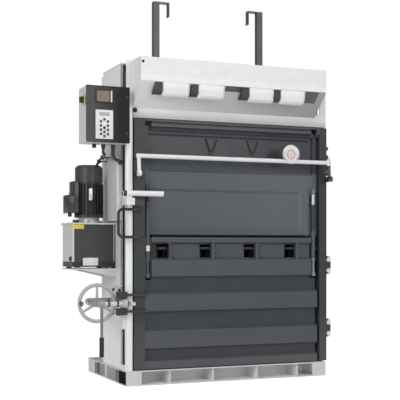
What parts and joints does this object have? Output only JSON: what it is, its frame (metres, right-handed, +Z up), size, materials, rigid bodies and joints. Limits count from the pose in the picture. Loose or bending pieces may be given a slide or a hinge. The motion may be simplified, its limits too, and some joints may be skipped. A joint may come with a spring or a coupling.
{
  "type": "recycling baler",
  "caption": "Upright baling press with a full-height hinged door, slide-up loading flap, ram platen on guide posts, side power pack and hand-wheel door lock.",
  "frame": {"origin": "on the floor at the centre of the rectangular base frame and of its anchor holes", "axes": "+Z up along the height, front with the door towards -Y, hinges towards +X, power pack and door lock towards -X"},
  "size_m": [1.7485, 0.996, 2.48],
  "materials": {
    "frame_paint": "light grey powder coat",
    "hood_paint": "mid grey powder coat",
    "door_paint": "anthracite powder coat",
    "white_tube": "white powder coat",
    "dark_steel": "dark painted steel",
    "bright_steel": "machined steel",
    "chrome_rod": "hard chrome",
    "cast_alloy": "cast light alloy",
    "motor_paint": "dark machine paint",
    "black_plastic": "black",
    "keypad_film": "white film",
    "display_glass": "amber display",
    "chamber_steel": "worn grey paint"
  },
  "bodies": {
    "frame": {"base_front_beam": "frame_paint", "base_rear_beam": "frame_paint", "base_side_rails": "frame_paint", "chamber_floor": "chamber_steel", "left_side_wall": "frame_paint", "right_side_wall": "frame_paint", "side_columns": "frame_paint", "left_post": "frame_paint", "back_wall": "frame_paint", "head_beams": "frame_paint", "head_plate": "frame_paint", "guide_sleeves": "dark_steel", "header_strip": "frame_paint", "hood_shell": "hood_paint", "strap_scoops": "white_tube", "hinge_brackets": "frame_paint", "pivot_pins": "bright_steel", "cylinder_brackets": "frame_paint", "tank_shelf": "frame_paint", "oil_tank": "dark_steel", "motor_flange": "cast_alloy", "motor_body": "motor_paint", "fan_cover": "motor_paint", "terminal_box": "motor_paint", "conduit": "black_plastic", "duct_cover": "white_tube", "cabinet_body": "frame_paint", "lock_bracket": "frame_paint"},
    "door": {"door_stiles": "door_paint", "door_rails": "door_paint", "door_lower_panel": "door_paint", "door_back_plate": "door_paint", "strap_ribs": "door_paint", "door_lock_lugs": "door_paint", "door_hinge_leaves": "dark_steel", "strut_barrels": "dark_steel", "latch_housing": "frame_paint", "bow_pivots": "dark_steel"},
    "flap": {"flap_panel": "door_paint", "strut_rods": "chrome_rod"},
    "bow": {"bow_bar": "white_tube", "sign_disc": "white_tube"},
    "latch": {"latch_handle": "white_tube"},
    "ram": {"platen": "chamber_steel", "guide_posts": "dark_steel"},
    "left_barrel": {"left_cylinder_barrel": "dark_steel"},
    "left_rod": {"left_cylinder_rod": "chrome_rod"},
    "right_barrel": {"right_cylinder_barrel": "dark_steel"},
    "right_rod": {"right_cylinder_rod": "chrome_rod"},
    "claws": {"retaining_claws": "dark_steel"},
    "motor_rotor": {"motor_fan": "black_plastic"},
    "cabinet_cover": {"cabinet_door": "dark_steel", "display_window": "display_glass", "keypad": "keypad_film"},
    "main_switch": {"switch_knob": "black_plastic"},
    "wheel": {"hand_wheel": "cast_alloy"},
    "crank_knob": {"wheel_knob": "black_plastic"},
    "lock_slide": {"draw_bar": "bright_steel"},
    "lock_lever": {"lock_shaft": "bright_steel", "lever_grip": "black_plastic"}
  },
  "joints": [
    {"name": "door_hinge", "type": "hinge", "parent": "frame", "child": "door", "pos_m": [0.727, -0.405, 0.74], "axis": [0, 0, 1], "range_deg": [0, 120]},
    {"name": "flap_slide", "type": "slide", "parent": "door", "child": "flap", "axis": [0, 0, 1], "range_m": [0, 0.39]},
    {"name": "bow_swing", "type": "hinge", "parent": "door", "child": "bow", "pos_m": [0, -0.492, 1.31], "axis": [1, 0, 0], "range_deg": [0, 70]},
    {"name": "latch_turn", "type": "hinge", "parent": "door", "child": "latch", "pos_m": [-0.708, -0.5, 1.1], "axis": [0, 0, -1], "range_deg": [0, 90]},
    {"name": "ram_slide", "type": "slide", "parent": "frame", "child": "ram", "axis": [0, 0, -1], "range_m": [0, 0.44]},
    {"name": "left_barrel_swing", "type": "hinge", "parent": "frame", "child": "left_barrel", "pos_m": [-0.55, -0.15, 1.93], "axis": [0, 1, 0], "range_deg": [0, 21.6]},
    {"name": "left_rod_slide", "type": "slide", "parent": "left_barrel", "child": "left_rod", "axis": [0.9901, 0, -0.1401], "range_m": [0, 0.13]},
    {"name": "right_barrel_swing", "type": "hinge", "parent": "frame", "child": "right_barrel", "pos_m": [0.55, 0.03, 1.93], "axis": [0, -1, 0], "range_deg": [0, 21.6]},
    {"name": "right_rod_slide", "type": "slide", "parent": "right_barrel", "child": "right_rod", "axis": [-0.9901, 0, -0.1401], "range_m": [0, 0.13]},
    {"name": "claws_hinge", "type": "hinge", "parent": "frame", "child": "claws", "pos_m": [0, 0.236, 1.11], "axis": [1, 0, 0], "range_deg": [0, 35], "stiffness_Nm_per_rad": 4, "springref_deg": -28.65},
    {"name": "motor_spin", "type": "hinge", "parent": "frame", "child": "motor_rotor", "pos_m": [-0.842, -0.085, 1.2], "axis": [0, 0, 1], "continuous": true},
    {"name": "cabinet_hinge", "type": "hinge", "parent": "frame", "child": "cabinet_cover", "pos_m": [-0.971, -0.479, 1.66], "axis": [0, 0, -1], "range_deg": [0, 110]},
    {"name": "switch_turn", "type": "hinge", "parent": "frame", "child": "main_switch", "pos_m": [-0.977, -0.44, 1.745], "axis": [1, 0, 0], "range_deg": [0, 90]},
    {"name": "wheel_turn", "type": "hinge", "parent": "frame", "child": "wheel", "pos_m": [-0.872, -0.37, 0.515], "axis": [0, 1, 0], "range_deg": [0, 720]},
    {"name": "crank_spin", "type": "hinge", "parent": "wheel", "child": "crank_knob", "pos_m": [-0.979, -0.4, 0.515], "axis": [0, 1, 0], "continuous": true},
    {"name": "lock_travel", "type": "slide", "parent": "frame", "child": "lock_slide", "axis": [0, 1, 0], "range_m": [0, 0.012]},
    {"name": "lock_lever_turn", "type": "hinge", "parent": "lock_slide", "child": "lock_lever", "pos_m": [-0.78, -0.48, 0.515], "axis": [-1, 0, 0], "range_deg": [0, 95]}
  ],
  "couplings": [
    {"joint": "left_barrel_swing", "follows": "ram_slide", "rad_per_m": 0.85096},
    {"joint": "right_barrel_swing", "follows": "ram_slide", "rad_per_m": 0.85096},
    {"joint": "left_rod_slide", "follows": "ram_slide", "ratio": 0.29339},
    {"joint": "right_rod_slide", "follows": "ram_slide", "ratio": 0.29339},
    {"joint": "lock_travel", "follows": "wheel_turn", "m_per_rad": 0.0009549}
  ]
}
